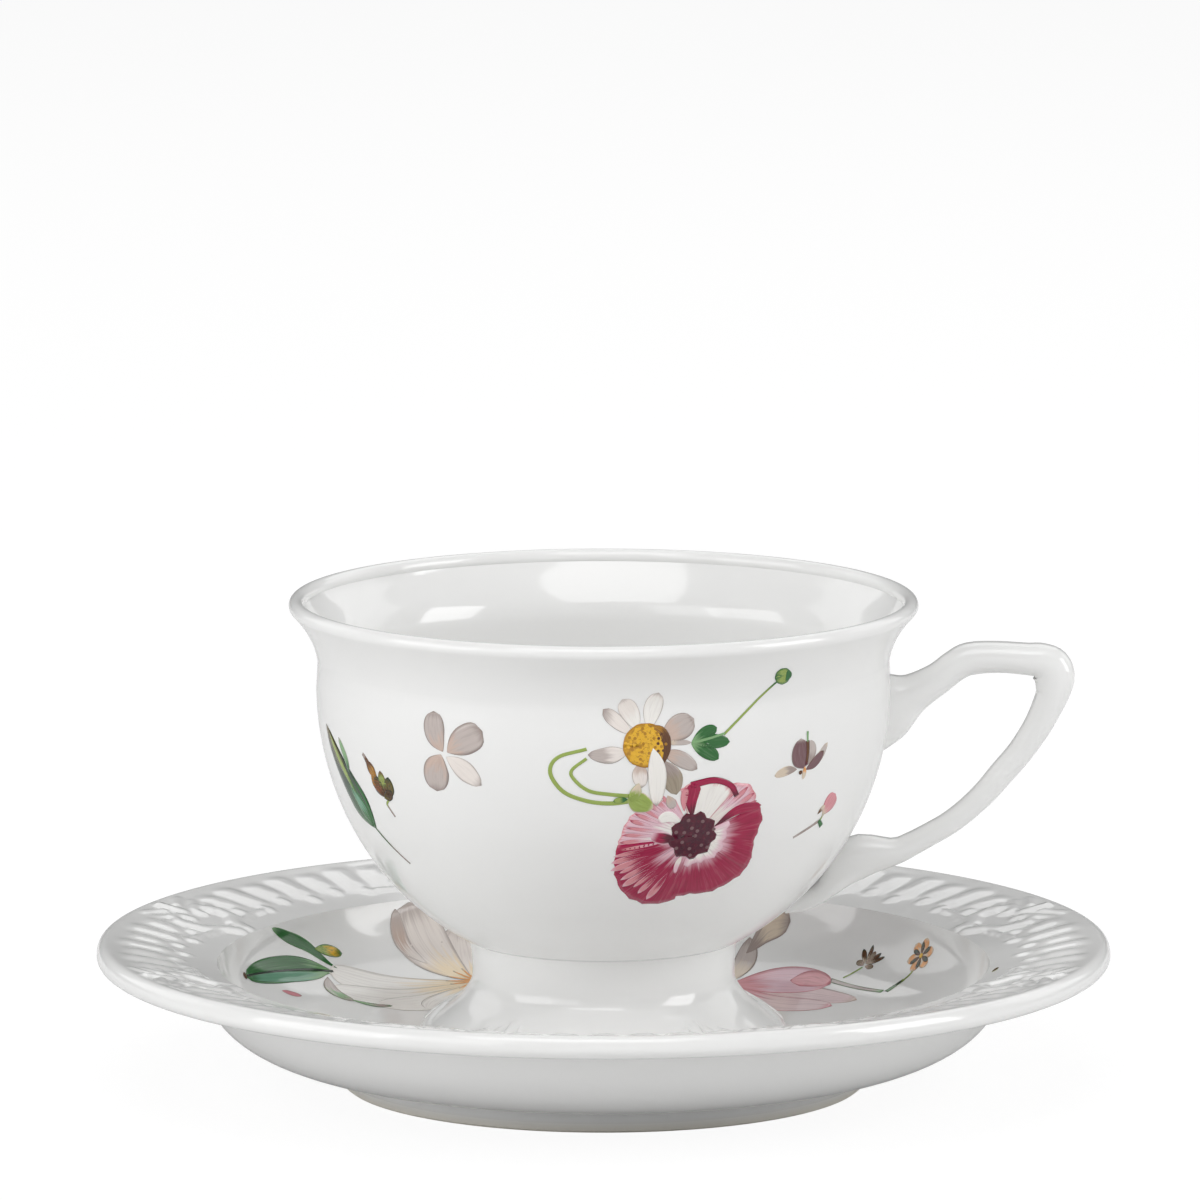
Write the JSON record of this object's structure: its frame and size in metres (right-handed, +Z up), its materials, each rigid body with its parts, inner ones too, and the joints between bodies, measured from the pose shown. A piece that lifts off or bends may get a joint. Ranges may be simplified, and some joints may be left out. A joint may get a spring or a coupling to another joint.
{
  "type": "teacup",
  "caption": "Footed porcelain teacup with a flared lip, an angular loop handle and small printed flowers, standing on its relief-edged saucer.",
  "frame": {"origin": "on the common axis of cup and saucer, at the plane the saucer's foot ring stands on", "axes": "+Z up along the axis, +X towards the cup's handle, -Y towards the larger printed flowers"},
  "size_m": [0.16, 0.16, 0.0775],
  "materials": {
    "porcelain": "clear gloss glaze over white porcelain",
    "crimson_print": "gloss, fired under-glaze print",
    "grey_print": "gloss, fired print",
    "green_print": "gloss, fired print",
    "olive_print": "gloss, fired print",
    "pink_print": "gloss, fired print",
    "cream_print": "gloss, fired print"
  },
  "bodies": {
    "saucer": {"saucer": "porcelain", "print_leaf_pair": "green_print", "print_cream_blossom": "cream_print", "print_pink_blossom": "pink_print", "print_brown_sprigs": "olive_print"},
    "cup": {"cup_bowl": "porcelain", "cup_foot": "porcelain", "handle": "porcelain", "print_anemone": "crimson_print", "print_daisy": "grey_print", "print_curled_stems": "green_print", "print_bud_spray": "green_print", "print_four_petal": "grey_print", "print_lance_leaf": "green_print", "print_seed_sprig": "olive_print", "print_mauve_blossom": "grey_print", "print_pink_bud": "pink_print"}
  },
  "joints": [
    {"name": "cup_lift", "type": "slide", "parent": "saucer", "child": "cup", "axis": [0, 0, 1], "range_m": [0, 0.06]}
  ]
}
